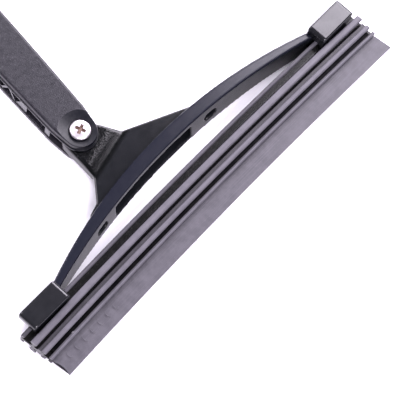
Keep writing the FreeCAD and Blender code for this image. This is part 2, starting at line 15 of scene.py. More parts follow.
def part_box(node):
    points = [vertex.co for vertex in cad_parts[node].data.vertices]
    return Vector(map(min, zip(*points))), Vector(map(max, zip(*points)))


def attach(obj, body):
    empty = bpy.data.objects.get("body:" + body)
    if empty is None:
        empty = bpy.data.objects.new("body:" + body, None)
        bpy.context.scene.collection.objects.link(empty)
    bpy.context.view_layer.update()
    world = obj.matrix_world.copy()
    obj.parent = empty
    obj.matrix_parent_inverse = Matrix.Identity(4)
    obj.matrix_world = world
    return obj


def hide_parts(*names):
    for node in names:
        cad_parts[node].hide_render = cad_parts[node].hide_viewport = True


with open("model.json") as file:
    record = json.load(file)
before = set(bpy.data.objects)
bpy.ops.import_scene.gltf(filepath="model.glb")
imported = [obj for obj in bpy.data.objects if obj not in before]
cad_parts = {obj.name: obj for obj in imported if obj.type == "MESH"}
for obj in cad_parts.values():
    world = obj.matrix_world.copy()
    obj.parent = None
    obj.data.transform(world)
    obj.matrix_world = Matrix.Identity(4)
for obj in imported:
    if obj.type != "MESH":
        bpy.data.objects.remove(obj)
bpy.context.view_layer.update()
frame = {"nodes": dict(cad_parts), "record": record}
nodes = frame["nodes"]
joint = frame["record"]["behaviour"]["joints"][0]
pivot = Vector(joint["pos_m"])
MM = 0.001

# --- camera and light, placed from the pivot ------------------------------------------------------
AIM_FROM_PIVOT = Vector((17.6, -72.7, 0.0)) * MM
CAMERA_DISTANCE = 0.9098
CAMERA_HEADING, CAMERA_PITCH, CAMERA_ROLL = 21.95, -66.57, 20.95     # degrees
SENSOR_WIDTH, LENS = 36.0, 155.8
FLOOR_GAP, FLOOR_HALF = 0.3 * MM, 3.0
FLOOR_COLOUR = (0.93, 0.925, 0.95, 1.0)
# The key panel is mirrored by the right half of the tool: place from the aim, size and radiance.
KEY_PLACE, KEY_SIZE, KEY_RADIANCE = Vector((1.02, 0.05, 1.0)), (0.7, 0.9), 13.0
# name, heading, pitch and radiance of the panels that whiten the floor
FLOOR_PANELS = (("back_panel", 35.0, 30.0, 15.5), ("far_panel", 105.0, 45.0, 9.0),
                ("corner_panel", 240.0, 50.0, 18.0))
FLOOR_PANEL_DISTANCE, FLOOR_PANEL_SIZE = 1.5, (0.8, 0.8)
PANEL_TINT = (1.0, 0.94, 1.06)
WORLD_LIGHT, WORLD_TINT = 0.27, (1.0, 0.95, 1.06, 1.0)

# --- rubber blade, millimetres --------------------------------------------------------------------
# Front half of the section: distance from the lip's edge, half thickness, corner radius, and how
# light the surface is painted there: 0 is painted shade (the grooves), above 1 a painted highlight
# (the tops).
BLADE_SECTION = (
    (0.0, 0.55, 0.0, 0.9), (11.4, 1.14, 0.15, 0.9), (11.55, 1.2, 0.05, 0.75), (11.6, 2.4, 0.25, 1.4),
    (12.25, 2.4, 0.3, 0.7), (12.3, 1.3, 0.2, 0.0), (15.35, 1.3, 0.2, 0.0), (15.35, 3.9, 0.4, 1.4),
    (16.7, 3.9, 0.3, 1.4), (16.8, 3.4, 0.1, 0.6), (19.4, 2.6, 1.0, 0.5), (20.7, 1.8, 0.3, 0.05),
    (21.1, 1.8, 0.1, 0.0), (21.15, 5.6, 0.45, 1.4), (23.75, 5.6, 0.45, 1.4), (23.8, 2.2, 0.3, 0.0),
    (25.7, 0.9, 0.5, 0.0), (28.7, 1.8, 0.3, 0.0), (28.75, 3.3, 0.35, 0.85), (30.2, 3.3, 0.8, 0.8))
LIP_ROOT = 11.4
BLADE_LENGTH, BLADE_RISE = 250.0, 2.2                # rise of the blade's middle over its ends
BLADE_HALF = BLADE_LENGTH / 2
BLADE_RADIUS = (BLADE_HALF ** 2 + BLADE_RISE ** 2) / (2 * BLADE_RISE)
BLADE_HALF_ANGLE = math.asin(BLADE_HALF / BLADE_RADIUS)
BLADE_STATIONS, BLADE_SHARP_ANGLE = 200, 40.0
BLADE_END_SKEW = 0.05           # how far the ends lean over for each millimetre from the lip
LIP_WAVE = 0.07                 # how far the thin lip waves up and down
LIP_END_HOLLOW = 1.2            # the lip's left end is cut to a hollow this deep
LIP_RIGHT_REACH = 1.0           # the lip's right end reaches this much further than the ribs
END_SHAPE_LENGTH = 6.0          # length of blade that these two ends take
TAB_X, TAB_WIDTH, TAB_REACH = -108.6, 1.2, 0.7      # tab that keeps the front spline in
RIB_FOUR_SIDE, RIB_FOUR_SIDE_DEPTH, SPLINE_TOP = 12.2, 0.15, 2.3
STATION_GAP = 0.02              # stations stand this close to each side of the tab's walls
STEP_CLEARANCE = 0.001          # share of the half length kept free of even steps beside them
TICK_COUNT, TICK_FIRST_X, TICK_PITCH = 7, -117.1, 5.6
TICK_FROM_LIP, TICK_LENGTH, TICK_BOW, TICK_WIDTH, TICK_HEIGHT = 6.6, 4.2, 0.8, 0.5, 0.13
# the ticks are painted a little darker than the lip: a painted shade
TICK_SINK, TICK_PAINTED_SHADE = 0.03, 0.8                # the ticks' feet are sunk into the lip
TICK_STEPS, TICK_ACROSS = 12, 5
DIE_LINE_SIZE = (60.0, 0.35, 0.35)                  # the extrusion's faint lines

# --- bow and neck, millimetres --------------------------------------------------------------------
FRAME_VOXEL, FRAME_SOFTEN_STEPS, FRAME_SHARP_ANGLE = 0.42, 5, 70.0
WEB_FRONT_Z, BAND_FRONT_Z = 10.4, 12.6
NECK_UP = Vector((-0.22, 0.975, 0.0))       # from the web up to the pivot
NECK_SWEEP, NECK_REACH = 9.0, 32.0          # length of the swept foot, and how far the neck goes
neck_foot = pivot + Vector((-10.7, -21.8, 0.0)) * MM

# --- screw and dish, millimetres ------------------------------------------------------------------
SHANK_R, SHANK_CHAMFER = 2.4, 0.4
SCREW_HEAD_HIGH, SCREW_RIM_HIGH, SCREW_EDGE = 2.1, 0.9, 0.25
SCREW_SEGMENTS, DOME_ROWS, SCREW_SHARP_ANGLE = 96, 12, 35.0
DOME_FIRST_ANGLE, DOME_ANGLE_STEP, DOME_FULLNESS = 4.0, 7.6, 0.9
CROSS_SPAN, CROSS_DEPTH, CROSS_TURN = 3.7, 1.6, 20.0
CROSS_TOP_HALF, CROSS_LOW_HALF, CROSS_LOW_SPAN = 1.05, 0.55, 1.665
CROSS_OVER = 0.6                # the cutter starts this far over the head
DISH_R = 11.6                   # hollow round the pivot in the handle's front


# --- mesh helpers ---------------------------------------------------------------------------------
def new_piece(name, points, faces, body, slot, *replaced):
    """Mesh object that rides on a body and replaces CAD nodes."""
    mesh = bpy.data.meshes.new(name)
    mesh.from_pydata([tuple(p) for p in points], [], faces)
    mesh.validate()
    return finish_piece(bpy.data.objects.new(name, mesh), body, slot, *replaced)


def finish_piece(piece, body, slot, *replaced):
    bpy.context.scene.collection.objects.link(piece)
    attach(piece, body)
    if replaced:
        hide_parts(*replaced)
    return piece


def outward_normals(mesh):
    work = bmesh.new()
    work.from_mesh(mesh)
    bmesh.ops.recalc_face_normals(work, faces=work.faces)
    work.to_mesh(mesh)
    work.free()


def smooth_by_angle(mesh, degrees):
    """Smooth shading, with edges sharper than this angle kept sharp."""
    work = bmesh.new()
    work.from_mesh(mesh)
    for face in work.faces:
        face.smooth = True
    for edge in work.edges:
        edge.smooth = len(edge.link_faces) == 2 and edge.calc_face_angle() < math.radians(degrees)
    work.to_mesh(mesh)
    work.free()


def rounded_corners(corners, steps=4):
    """Points of an open outline of (a, b, radius, value) corners, each rounded with a short arc.

    Every point is (a, b, value).  Straight runs get a point close to each end, so that smooth
    shading stays flat along them.
    """
    points = []
    for index, (a, b, radius, value) in enumerate(corners):
        here = Vector((a, b))
        if radius == 0 or index == len(corners) - 1:
            points.append((a, b, value))
            continue
        before = (Vector(corners[index - 1][:2]) - here).normalized()
        after = (Vector(corners[index + 1][:2]) - here).normalized()
        half = before.angle(after) / 2
        reach = radius / math.tan(half)
        centre = here + (before + after).normalized() * (radius / math.sin(half))
        start, end = here + before * reach - centre, here + after * reach - centre
        arc = [centre + start.slerp(end, step / steps) for step in range(steps + 1)]
        points.extend((p.x, p.y, value) for p in arc)
    return with_supports(points)


def with_supports(points, inset=0.06, longest=1.2):
    """Split every long straight run of an outline, with a point near each of its ends."""
    supported = [points[0]]
    for here, there in zip(points, points[1:]):
        length = math.dist(here[:2], there[:2])
        if length > 4 * inset:
            middles = [k / math.ceil(length / longest) for k in range(1, math.ceil(length / longest))]
            for t in [inset / length] + middles + [1 - inset / length]:
                supported.append(tuple(a + (b - a) * t for a, b in zip(here, there)))
        supported.append(there)
    return supported


def lathe(profile, segments):
    """Points and faces of a closed profile of (radius, z) turned about the Z axis."""
    points, faces = [], []
    for radius, z in profile:
        for k in range(segments):
            angle = 2 * math.pi * k / segments
            points.append(Vector((radius * math.cos(angle), radius * math.sin(angle), z)))
    for row in range(len(profile) - 1):
        for k in range(segments):
            nxt = (k + 1) % segments
            low, high = row * segments, (row + 1) * segments
            faces.append((low + k, low + nxt, high + nxt, high + k))
    faces.append(tuple(reversed(range(segments))))
    faces.append(tuple(range((len(profile) - 1) * segments, len(profile) * segments)))
    return points, faces


# --- rubber blade ---------------------------------------------------------------------------------
rubber_low, rubber_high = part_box("squeegee_rubber")
blade_origin = Vector((0.0, rubber_low[1], (rubber_low[2] + rubber_high[2]) / 2))


def blade_point(along, from_lip, height):
    """Place of a point of the blade: along from -1 to 1, the rest in millimetres."""
    angle = along * BLADE_HALF_ANGLE
    reach = BLADE_RADIUS + from_lip
    on_lip = max(0.0, 1 - from_lip / LIP_ROOT)
    x = reach * math.sin(angle) - BLADE_END_SKEW * from_lip
    x += LIP_END_HOLLOW * near_end(-along) * math.sin(math.pi * on_lip)
    x += LIP_RIGHT_REACH * near_end(along) * on_lip
    y = BLADE_RISE - BLADE_RADIUS + reach * math.cos(angle)
    # a long wave and a shorter one, so that the lip's edge isn't quite straight
    wave = math.sin(9.1 * along + 0.4) + 0.6 * math.sin(23.7 * along + 1.3)
    return blade_origin + Vector((x, y, height + LIP_WAVE * on_lip ** 2 * wave)) * MM


def near_end(along):
    """0 along the blade, rising to 1 over its last few millimetres."""
    return max(0.0, 1 - (1 - along) * BLADE_HALF / END_SHAPE_LENGTH)


def blade_stations():
    """Even steps along the blade, with extra ones at the sides of the tab."""
    steps = [-1 + 2 * k / BLADE_STATIONS for k in range(BLADE_STATIONS + 1)]
    walls = [(TAB_X + side + gap) / BLADE_HALF
             for side in (0.0, TAB_WIDTH) for gap in (-STATION_GAP, STATION_GAP)]
    keep = [s for s in steps if not walls[0] - STEP_CLEARANCE < s < walls[-1] + STEP_CLEARANCE]
    return sorted(keep + walls), walls


def lip_half_thickness(from_lip):
    edge_half, root_half = BLADE_SECTION[0][1], BLADE_SECTION[1][1]
    return edge_half + (root_half - edge_half) * from_lip / LIP_ROOT


def write_painted_light_and_shade(mesh, values):
    """Store how light each point is painted, shade in the grooves and highlight on the tops, for the
    rubber's material.
    """
    attribute = mesh.attributes.new("painted_light_and_shade", "FLOAT", "POINT")
    attribute.data.foreach_set("value", values)


def tick_mark(x):
    """A thin raised crescent on the front of the lip, as rows of points that run across it."""
    rows = []
    for i in range(TICK_STEPS + 1):
        t = i / TICK_STEPS
        taper = math.sin(math.pi * (0.06 + 0.88 * t))
        from_lip = TICK_FROM_LIP + (t - 0.5) * TICK_LENGTH
        bow = -TICK_BOW * (1 - (2 * t - 1) ** 2)
        row = []
        for j in range(TICK_ACROSS):
            u = j / (TICK_ACROSS - 1) * 2 - 1
            rise = TICK_HEIGHT * taper * (1 - u * u) - TICK_SINK
            place = (x + bow + u * TICK_WIDTH / 2 * taper) / BLADE_HALF
            row.append(blade_point(place, from_lip, lip_half_thickness(from_lip) + rise))
        rows.append(row)
    return rows


def extruded_blade():
    """Points, faces and painted light and shade of the ribbed section swept along the blade."""
    front = rounded_corners(BLADE_SECTION)
    outline = front + [(a, -b, value) for a, b, value in reversed(front)]
    count = len(outline)
    stations, walls = blade_stations()
    points, faces, painted_light_and_shade = [], [], []
    for along in stations:
        in_tab = walls[0] < along < walls[-1]
        for from_lip, height, value in outline:
            on_side = RIB_FOUR_SIDE < from_lip < RIB_FOUR_SIDE + RIB_FOUR_SIDE_DEPTH
            if in_tab and on_side and height > SPLINE_TOP:
                from_lip, value = from_lip + TAB_REACH, 1.0
            points.append(blade_point(along, from_lip, height))
            painted_light_and_shade.append(value)
    for row in range(len(stations) - 1):
        for k in range(count):
            low, nxt = row * count, (k + 1) % count
            faces.append((low + k, low + nxt, low + count + nxt, low + count + k))
    faces.append(tuple(range(count)))
    faces.append(tuple(range((len(stations) - 1) * count, len(stations) * count)))
    return points, faces, painted_light_and_shade


def grid_faces(base, rows):
    """Faces of a row-by-row grid of points that starts at base, closed below and at both ends."""
    width = len(rows[0])
    faces = []
    for i in range(len(rows) - 1):
        for j in range(width - 1):
            a = base + i * width + j
            faces.append((a, a + 1, a + width + 1, a + width))
        left, right = base + i * width, base + i * width + width - 1
        faces.append((left, left + width, right + width, right))
    faces.append(tuple(base + j for j in range(width)))
    faces.append(tuple(base + (len(rows) - 1) * width + j for j in reversed(range(width))))
    return faces


def make_blade():
    points, faces, painted_light_and_shade = extruded_blade()
    for number in range(TICK_COUNT):
        rows = tick_mark(TICK_FIRST_X + number * TICK_PITCH)
        faces.extend(grid_faces(len(points), rows))
        for row in rows:
            points.extend(row)
            painted_light_and_shade.extend(TICK_PAINTED_SHADE for p in row)
    blade = new_piece("ribbed_rubber_blade", points, faces, "head", "blade_rubber", "squeegee_rubber")
    write_painted_light_and_shade(blade.data, painted_light_and_shade)
    outward_normals(blade.data)
    smooth_by_angle(blade.data, BLADE_SHARP_ANGLE)


# --- bow and neck ---------------------------------------------------------------------------------
def make_bow_and_neck():
    """The CAD moulding with its sharp corners melted into small radii and its neck's foot swept."""
    piece = bpy.data.objects.new("bow_and_neck", nodes["head_frame"].data.copy())
    piece.data.materials.clear()
    finish_piece(piece, "head", "frame_plastic", "head_frame")
    remesh = piece.modifiers.new("even", "REMESH")
    remesh.mode = "VOXEL"
    remesh.voxel_size = FRAME_VOXEL * MM
    soften = piece.modifiers.new("soften", "SMOOTH")
    soften.factor, soften.iterations = 0.5, FRAME_SOFTEN_STEPS
    apply_modifiers(piece)
    slope_neck_foot(piece.data)
    smooth_by_angle(piece.data, FRAME_SHARP_ANGLE)


def slope_neck_foot(mesh):
    """Let the neck's thick front run down to the web in a long sweep instead of a step."""
    for vertex in mesh.vertices:
        up_neck = (vertex.co - neck_foot).dot(NECK_UP) / MM
        above_web = vertex.co.z - WEB_FRONT_Z * MM
        in_reach = (vertex.co - pivot).length < NECK_REACH * MM
        if 0 < up_neck < NECK_SWEEP and above_web > 0 and in_reach:
            t = up_neck / NECK_SWEEP
            vertex.co.z = WEB_FRONT_Z * MM + above_web * t * t * (3 - 2 * t)


def apply_modifiers(piece):
    evaluated = piece.evaluated_get(bpy.context.evaluated_depsgraph_get())
    mesh = bpy.data.meshes.new_from_object(evaluated)
    piece.modifiers.clear()
    piece.data = mesh


# --- pivot screw ----------------------------------------------------------------------------------
def make_pivot_screw():
    """Pan-head screw with a domed top, a rounded rim and a tapered cross recess."""
    low, high = (Vector(v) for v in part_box("pivot_screw"))
    head_r = (high.x - low.x) / 2 / MM
    top = (high.z - low.z) / MM
    seat = top - SCREW_HEAD_HIGH
    dome_high = SCREW_HEAD_HIGH - SCREW_RIM_HIGH
    profile = [(SHANK_R - SHANK_CHAMFER, 0.0), (SHANK_R, SHANK_CHAMFER), (SHANK_R, seat),
               (head_r - SCREW_EDGE, seat), (head_r, seat + SCREW_EDGE)]
    for k in range(DOME_ROWS):
        angle = math.radians(DOME_FIRST_ANGLE + DOME_ANGLE_STEP * k)
        dome_z = seat + SCREW_RIM_HIGH + dome_high * math.sin(angle) ** DOME_FULLNESS
        profile.append((head_r * math.cos(angle), dome_z))
    points, faces = lathe(profile, SCREW_SEGMENTS)
    centre = Vector(((low.x + high.x) / 2, (low.y + high.y) / 2, low.z))
    screw = new_piece("cross_recess_pivot_screw", [centre + p * MM for p in points], faces,
                      "handle", "screw_nickel", "pivot_screw")
    outward_normals(screw.data)
    cut_cross(screw, centre + Vector((0, 0, top)) * MM)
    smooth_by_angle(screw.data, SCREW_SHARP_ANGLE)


def cut_cross(screw, top):
    """Cut a tapered cross into the screw's head, turned as the screw was left when tightened."""
    mesh = bpy.data.meshes.new("cross")
    work = bmesh.new()
    for quarter in (0, 1):
        angle = math.radians(CROSS_TURN) + quarter * math.pi / 2
        along = Vector((math.cos(angle), math.sin(angle), 0))
        across = Vector((-math.sin(angle), math.cos(angle), 0))
        rings = []
        for z, half, reach in ((CROSS_OVER, CROSS_TOP_HALF, CROSS_SPAN),
                               (-CROSS_DEPTH, CROSS_LOW_HALF, CROSS_LOW_SPAN)):
            offsets = [along * reach * a + across * half * b + Vector((0, 0, z))
                       for a, b in ((-1, -1), (1, -1), (1, 1), (-1, 1))]
            rings.append([work.verts.new(top + offset * MM) for offset in offsets])
        work.faces.new(rings[0])
        work.faces.new(reversed(rings[1]))
        for k in range(4):
            n = (k + 1) % 4
            work.faces.new((rings[0][k], rings[1][k], rings[1][n], rings[0][n]))
    bmesh.ops.recalc_face_normals(work, faces=work.faces)
    work.to_mesh(mesh)
    work.free()
    cutter = bpy.data.objects.new("cross", mesh)
    bpy.context.scene.collection.objects.link(cutter)
    cut = screw.modifiers.new("recess", "BOOLEAN")
    cut.object, cut.operation, cut.solver, cut.use_self = cutter, "DIFFERENCE", "EXACT", True
    apply_modifiers(screw)
    bpy.data.objects.remove(cutter)


# --- material helpers -----------------------------------------------------------------------------
class Finish:
    """One procedural material. Textures are sized in millimetres of the object's own space."""

    def __init__(self, name, roughness, metallic=0.0, specular=0.5):
        self.material = bpy.data.materials.new(name)
        self.material.use_nodes = True
        self.tree = self.material.node_tree
        self.bsdf = self.tree.nodes["Principled BSDF"]
        self.bsdf.inputs["Roughness"].default_value = roughness
        self.bsdf.inputs["Metallic"].default_value = metallic
        self.bsdf.inputs["Specular IOR Level"].default_value = specular
        coordinates = self.tree.nodes.new("ShaderNodeTexCoord")
        scale = self.add("ShaderNodeVectorMath", {"operation": "SCALE"})
        self.link(coordinates.outputs["Object"], scale.inputs[0])
        scale.inputs["Scale"].default_value = 1 / MM
        self.place = scale.outputs[0]

    def link(self, source, target):
        self.tree.links.new(source, target)

    def add(self, kind, settings=None, **inputs):
        node = self.tree.nodes.new(kind)
        for name, value in (settings or {}).items():
            setattr(node, name, value)
        for name, value in inputs.items():
            self.put(node.inputs[name.replace("_", " ")], value)
        return node

    def put(self, socket, value):
        if isinstance(value, bpy.types.NodeSocket):
            self.link(value, socket)
        else:
            socket.default_value = value

    def math(self, operation, a, b=0.0):
        node = self.add("ShaderNodeMath", {"operation": operation})
        self.put(node.inputs[0], a)
        self.put(node.inputs[1], b)
        return node.outputs[0]

    def stretched(self, stretch):
        """The millimetre coordinates, divided by (x, y, z) lengths."""
        node = self.add("ShaderNodeVectorMath", {"operation": "DIVIDE"})
        self.link(self.place, node.inputs[0])
        node.inputs[1].default_value = stretch
        return node.outputs[0]

    def noise(self, size, detail=3.0, roughness=0.55, place=None):
        """Cloudy noise whose features are about size millimetres across."""
        return self.add("ShaderNodeTexNoise", Vector=place or self.place, Scale=1 / size,
                        Detail=detail, Roughness=roughness).outputs[0]

    def cells(self, size):
        """Smooth rounded cells about size millimetres across."""
        return self.add("ShaderNodeTexVoronoi", {"feature": "SMOOTH_F1"}, Vector=self.place,
                        Scale=1 / size, Smoothness=0.6).outputs["Distance"]

    def ramp(self, value, low, high, to_low=0.0, to_high=1.0):
        return self.add("ShaderNodeMapRange", {"interpolation_type": "SMOOTHSTEP"}, Value=value,
                        From_Min=low, From_Max=high, To_Min=to_low, To_Max=to_high).outputs[0]

    def mix(self, factor, a, b):
        node = self.add("ShaderNodeMix", {"data_type": "RGBA"})
        for index, value in ((0, factor), (6, a), (7, b)):
            self.put(node.inputs[index], value)
        return node.outputs[2]

    def coordinate(self, direction, start):
        """Distance in millimetres along a direction from a point in metres."""
        node = self.add("ShaderNodeVectorMath", {"operation": "DOT_PRODUCT"})
        self.link(self.place, node.inputs[0])
        node.inputs[1].default_value = direction
        offset = Vector(direction).dot(Vector(start)) / MM
        return self.math("SUBTRACT", node.outputs["Value"], offset)

    def distance_from_axis(self, centre):
        """Distance in millimetres from a vertical line through a point in metres."""
        away = self.add("ShaderNodeVectorMath", {"operation": "SUBTRACT"})
        self.link(self.place, away.inputs[0])
        away.inputs[1].default_value = Vector(centre) / MM
        flat = self.add("ShaderNodeVectorMath", {"operation": "MULTIPLY"})
        self.link(away.outputs[0], flat.inputs[0])
        flat.inputs[1].default_value = (1, 1, 0)
        length = self.add("ShaderNodeVectorMath", {"operation": "LENGTH"})
        self.link(flat.outputs[0], length.inputs[0])
        return length.outputs["Value"]

    def rounded_normal(self, radius):
        return self.add("ShaderNodeBevel", {"samples": 4}, Radius=radius * MM).outputs[0]

    def edge_wear_and_highlight(self, rounded):
        """1 on outer edges, where wear and a painted highlight lighten the colour, and 0 on flat
        faces.
        """
        facing = self.add("ShaderNodeNewGeometry").outputs["Normal"]
        dot = self.add("ShaderNodeVectorMath", {"operation": "DOT_PRODUCT"})
        self.link(rounded, dot.inputs[0])
        self.link(facing, dot.inputs[1])
        return self.ramp(dot.outputs["Value"], 0.98, 0.86)

    def bump(self, height, depth, normal=None):
        node = self.add("ShaderNodeBump", Height=height, Distance=depth * MM, Strength=1.0)
        if normal:
            self.link(normal, node.inputs["Normal"])
        return node.outputs[0]

    def set(self, name, value):
        self.put(self.bsdf.inputs[name], value)


def rgb(red, green, blue):
    return (red, green, blue, 1.0)


# --- materials ------------------------------------------------------------------------------------
def moulded_plastic(name, dark, light, fleck_wear_and_highlight, roughness, grain, grain_depth, edge, specular=0.5):
    """Fine-grained moulding: mottled colour, uneven gloss, spark grain and lighter edges, partly wear
    and partly a painted highlight.

    The grain, its depth and the edges' radius are in millimetres.
    """
    finish = Finish(name, roughness, specular=specular)
    mottle = finish.ramp(finish.noise(7.0, 4), 0.3, 0.7)
    colour = finish.mix(mottle, dark, light)
    flecks = finish.ramp(finish.noise(grain * 1.3, 2), 0.60, 0.74)
    colour = finish.mix(finish.math("MULTIPLY", flecks, 0.35), colour, fleck_wear_and_highlight)
    rounded = finish.rounded_normal(edge)
    scuffs = finish.ramp(finish.noise(1.6, 5, 0.7), 0.42, 0.62)
    # lighter edges where scuffed: wear and a painted highlight
    wear_and_highlight = finish.math("MULTIPLY", finish.edge_wear_and_highlight(rounded), scuffs)
    finish.set("Base Color", finish.mix(finish.math("MULTIPLY", wear_and_highlight, 0.5), colour, fleck_wear_and_highlight))
    gloss = finish.ramp(finish.noise(2.2, 4), 0.3, 0.7, roughness - 0.05, roughness + 0.06)
    finish.set("Roughness", gloss)
    finish.set("Normal", finish.bump(spark_grain(finish, grain), grain_depth, rounded))
    return finish


def spark_grain(finish, grain):
    """Height of the grain that an eroded mould leaves: rounded cells under finer noise."""
    fine = finish.math("MULTIPLY", finish.noise(grain * 0.4, 2), 0.5)
    return finish.math("ADD", finish.cells(grain), fine)


def handle_plastic():
    return moulded_plastic("handle_plastic", dark=rgb(0.011, 0.0105, 0.0135),
                           light=rgb(0.016, 0.015, 0.019), fleck_wear_and_highlight=rgb(0.09, 0.087, 0.10),
                           roughness=0.30, grain=0.45, grain_depth=0.012, edge=0.35)


def dished_handle_plastic():
    """The front cover: grained and mottled on its face; smoother and coloured near black inside the
    dish, a painted shade.
    """
    finish = Finish("handle_front_plastic", 0.35, specular=0.33)
    in_dish = finish.ramp(finish.distance_from_axis(pivot), DISH_R + 0.1, DISH_R - 0.5)
    mottle = finish.ramp(finish.noise(3.0, 5, 0.65), 0.35, 0.65)
    face = finish.mix(mottle, rgb(0.006, 0.0058, 0.0090), rgb(0.0145, 0.0138, 0.018))
    flecks = finish.ramp(finish.noise(0.55, 2), 0.58, 0.74)
    face = finish.mix(finish.math("MULTIPLY", flecks, 0.55), face, rgb(0.06, 0.058, 0.068))
    rounded = finish.rounded_normal(0.35)
    scuffs = finish.ramp(finish.noise(1.6, 5, 0.7), 0.42, 0.62)
    # lighter edges where scuffed: wear and a painted highlight
    wear_and_highlight = finish.math("MULTIPLY", finish.edge_wear_and_highlight(rounded), scuffs)
    face = finish.mix(finish.math("MULTIPLY", wear_and_highlight, 0.5), face, rgb(0.17, 0.165, 0.18))
    # painted shade: inside the dish round the screw the colour goes near black
    finish.set("Base Color", finish.mix(in_dish, face, rgb(0.0012, 0.0016, 0.0040)))
    grained = finish.ramp(finish.noise(2.2, 4), 0.3, 0.7, 0.32, 0.39)
    finish.set("Roughness", finish.math("SUBTRACT", grained, finish.math("MULTIPLY", in_dish, 0.03)))
    on_face = finish.math("SUBTRACT", 1.0, finish.math("MULTIPLY", in_dish, 0.8))
    height = finish.math("MULTIPLY", spark_grain(finish, 0.5), on_face)
    finish.set("Normal", finish.bump(height, 0.045, rounded))
    return finish


def core_plastic():
    return moulded_plastic("core_plastic", dark=rgb(0.010, 0.0098, 0.013),
                           light=rgb(0.014, 0.0135, 0.018), fleck_wear_and_highlight=rgb(0.16, 0.155, 0.18),
                           roughness=0.24, grain=0.9, grain_depth=0.006, edge=0.2, specular=1.0)


def clamp_plastic():
    """Polished moulding: faint clouds in its colour and gloss, with slightly lighter edges, partly
    rubbing and partly a painted highlight.
    """
    finish = Finish("clamp_plastic", 0.22)
    clouds = finish.ramp(finish.noise(6.0), 0.3, 0.7)
    colour = finish.mix(clouds, rgb(0.0038, 0.0041, 0.0056), rgb(0.0058, 0.0061, 0.0078))
    rounded = finish.rounded_normal(0.12)
    # lighter edges all round: rubbing and a painted highlight
    wear_and_highlight = finish.math("MULTIPLY", finish.edge_wear_and_highlight(rounded), 0.3)
    finish.set("Base Color", finish.mix(wear_and_highlight, colour, rgb(0.05, 0.049, 0.056)))
    finish.set("Roughness", finish.ramp(finish.noise(5.0), 0.3, 0.7, 0.20, 0.24))
    finish.set("Normal", finish.bump(finish.noise(3.0, 2), 0.004, rounded))
    return finish


def frame_plastic():
    """Smooth satin bow and web, with a coarse spark texture on the neck, a near-black painted shade
    at the neck's foot and a lighter, bluer painted sheen on the rim's front band.
    """
    finish = Finish("frame_plastic", 0.33, specular=0.30)
    up_neck = finish.coordinate(NECK_UP, neck_foot)
    in_neck = finish.ramp(up_neck, 3.0, 8.0)
    above_foot, below_nose = finish.ramp(up_neck, -2.0, 0.5), finish.ramp(up_neck, 12.0, 5.0)
    painted_foot_shade = finish.math("MULTIPLY", above_foot, below_nose)
    painted_rim_sheen = finish.ramp(finish.coordinate((0, 0, 1), (0, 0, BAND_FRONT_Z * MM)), 0.0, 0.6)
    mottle = finish.ramp(finish.noise(9.0, 4), 0.3, 0.7)
    smooth = finish.mix(mottle, rgb(0.0040, 0.0045, 0.0056), rgb(0.0060, 0.0065, 0.0080))
    # painted sheen: the rim's front band is coloured lighter and bluer than the web of the same
    # moulding
    smooth = finish.mix(painted_rim_sheen, smooth, rgb(0.0075, 0.0083, 0.0135))
    specks = finish.ramp(finish.noise(0.9, 3, 0.7), 0.54, 0.68)
    textured = finish.mix(specks, rgb(0.0010, 0.0012, 0.0015), rgb(0.013, 0.014, 0.017))
    colour = finish.mix(in_neck, smooth, textured)
    # painted shade: the neck's foot is coloured near black
    finish.set("Base Color", finish.mix(painted_foot_shade, colour, rgb(0.0006, 0.0008, 0.0010)))
    gloss = finish.ramp(finish.noise(3.0, 4), 0.3, 0.7, 0.14, 0.18)
    finish.set("Roughness", finish.math("SUBTRACT", gloss, finish.math("MULTIPLY", painted_foot_shade, 0.03)))
    coarse = finish.math("MULTIPLY", finish.cells(0.8), finish.math("MULTIPLY", in_neck, 3.5))
    height = finish.math("ADD", coarse, finish.noise(0.5, 3))
    finish.set("Normal", finish.bump(height, 0.018))
    return finish


def blade_rubber():
    """Extruded rubber: long die lines, soft mottling and talc, with painted shade (near black) in the
    grooves and a painted highlight on the rib tops.
    """
    finish = Finish("blade_rubber", 0.40, specular=0.22)
    lines = finish.noise(1.0, 4, 0.6, finish.stretched(DIE_LINE_SIZE))
    mottle = finish.ramp(finish.noise(5.0, 4), 0.3, 0.7)
    colour = finish.mix(mottle, rgb(0.057, 0.0545, 0.063), rgb(0.074, 0.0705, 0.081))
    colour = finish.mix(finish.ramp(lines, 0.45, 0.75, 0.0, 0.3), colour, rgb(0.13, 0.125, 0.145))
    talc = finish.ramp(finish.noise(0.6, 3, 0.7), 0.62, 0.75)
    colour = finish.mix(finish.math("MULTIPLY", talc, 0.3), colour, rgb(0.22, 0.21, 0.235))
    pale = finish.add("ShaderNodeAttribute", {"attribute_name": "painted_light_and_shade"}).outputs["Fac"]
    # painted shade: where the attribute falls below 1 the colour goes towards near black, fully in
    # the grooves
    colour = finish.mix(finish.math("MINIMUM", pale, 1.0), rgb(0.006, 0.006, 0.006), colour)
    # painted highlight: where the attribute is above 1.2, on the rib tops, the colour is lightened
    painted_highlight = finish.ramp(pale, 1.2, 2.5, 0.0, 0.8)
    finish.set("Base Color", finish.mix(painted_highlight, colour, rgb(0.36, 0.34, 0.40)))
    gloss = finish.ramp(finish.noise(2.5, 4), 0.3, 0.7, 0.33, 0.41)
    finish.set("Roughness", finish.math("ADD", gloss, finish.ramp(pale, 0.0, 0.5, -0.12, 0.0)))
    height = finish.math("ADD", lines, finish.math("MULTIPLY", finish.noise(0.35, 2), 0.4))
    finish.set("Normal", finish.bump(height, 0.02))
    return finish


